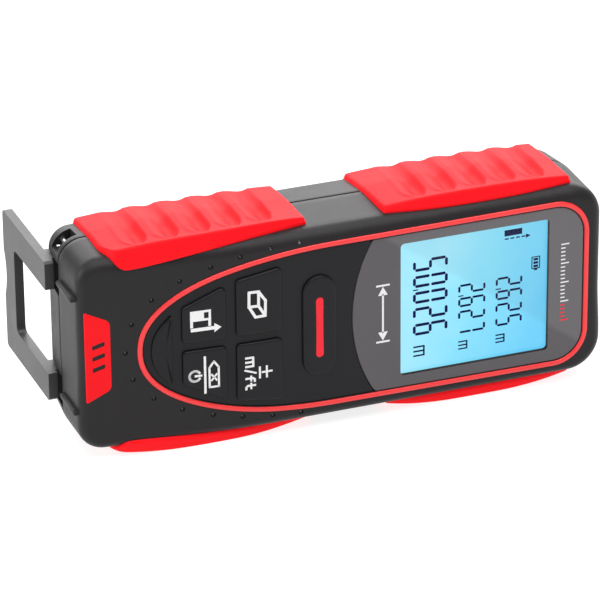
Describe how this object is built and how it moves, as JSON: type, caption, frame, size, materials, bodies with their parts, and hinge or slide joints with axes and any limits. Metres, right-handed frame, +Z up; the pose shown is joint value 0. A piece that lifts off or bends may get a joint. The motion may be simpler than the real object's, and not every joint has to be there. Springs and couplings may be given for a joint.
{
  "type": "laser distance meter",
  "caption": "Pocket laser distance meter with a lit display, a rubber keypad, rubber side grips and a fold-out end bracket.",
  "frame": {"origin": "middle of the bounding box at its base, where the two lower grips stand", "axes": "+X along the meter towards the laser end, +Y from the display to the back, +Z up across the meter's width"},
  "size_m": [0.1198, 0.0486, 0.049],
  "materials": {
    "housing_charcoal": "fine spark texture, charcoal",
    "front_gloss_red": "satin red",
    "grip_red": "matt red",
    "keypad_black": "silk black",
    "mark_red": "gloss red",
    "lens_tint": "clear with a grey printed border",
    "bracket_black": "fine texture, black",
    "steel": "bright",
    "spring_steel": "bright nickel",
    "lcd": "pale blue display",
    "diffuser": "white",
    "ribbon_amber": "amber film",
    "board_green": "green solder mask",
    "chip_black": "moulded epoxy",
    "tray_black": "smooth black",
    "cell_jacket": "printed foil",
    "chassis_zinc": "die cast",
    "laser_brass": "turned",
    "end_plate_black": "gloss black",
    "optic_glass": "coated"
  },
  "bodies": {
    "meter": {"front_housing": "housing_charcoal", "back_housing": "housing_charcoal", "bezel_line": "front_gloss_red", "display_lens": "lens_tint", "keypad_mat": "keypad_black", "badge": "grip_red", "grip_hook_upper": "grip_red", "grip_hook_lower": "grip_red", "grip_laser_upper": "grip_red", "grip_laser_lower": "grip_red", "hinge_pin": "steel", "strap_bar": "steel", "display_panel": "lcd", "display_backlight": "diffuser", "display_ribbon": "ribbon_amber", "main_board": "board_green", "dome_reference": "spring_steel", "dome_clear": "spring_steel", "dome_volume": "spring_steel", "dome_units": "spring_steel", "dome_measure": "spring_steel", "processor": "chip_black", "buzzer": "chip_black", "battery_tray": "tray_black", "cell_upper": "cell_jacket", "contact_spring_upper": "spring_steel", "contact_plate_upper": "spring_steel", "cell_lower": "cell_jacket", "contact_spring_lower": "spring_steel", "contact_plate_lower": "spring_steel", "optics_chassis": "chassis_zinc", "laser_module": "laser_brass", "detector_can": "steel", "detector_board": "board_green", "end_plate": "end_plate_black", "receiver_lens": "optic_glass", "laser_window": "optic_glass", "case_screw_1": "steel", "case_screw_2": "steel", "case_screw_3": "steel", "case_screw_4": "steel"},
    "bracket": {"end_bracket": "bracket_black"},
    "battery_door": {"battery_cover": "housing_charcoal"},
    "reference_key": {"key_reference": "keypad_black"},
    "clear_key": {"key_clear": "keypad_black"},
    "volume_key": {"key_volume": "keypad_black"},
    "units_key": {"key_units": "keypad_black"},
    "measure_key": {"key_measure": "keypad_black", "measure_mark": "mark_red"}
  },
  "joints": [
    {"name": "bracket_fold", "type": "hinge", "parent": "meter", "child": "bracket", "pos_m": [-0.0554, -0.00122, 0.0245], "axis": [0, 0, 1], "range_deg": [-90, 90]},
    {"name": "battery_door_hinge", "type": "hinge", "parent": "meter", "child": "battery_door", "pos_m": [0.0234, 0.00317, 0.0245], "axis": [0, 0, -1], "range_deg": [0, 60]},
    {"name": "reference_key_press", "type": "slide", "parent": "meter", "child": "reference_key", "axis": [0, 1, 0], "range_m": [0, 0.0004], "stiffness_N_per_m": 2500},
    {"name": "clear_key_press", "type": "slide", "parent": "meter", "child": "clear_key", "axis": [0, 1, 0], "range_m": [0, 0.0004], "stiffness_N_per_m": 2500},
    {"name": "volume_key_press", "type": "slide", "parent": "meter", "child": "volume_key", "axis": [0, 1, 0], "range_m": [0, 0.0004], "stiffness_N_per_m": 2500},
    {"name": "units_key_press", "type": "slide", "parent": "meter", "child": "units_key", "axis": [0, 1, 0], "range_m": [0, 0.0004], "stiffness_N_per_m": 2500},
    {"name": "measure_key_press", "type": "slide", "parent": "meter", "child": "measure_key", "axis": [0, 1, 0], "range_m": [0, 0.0004], "stiffness_N_per_m": 2500}
  ]
}
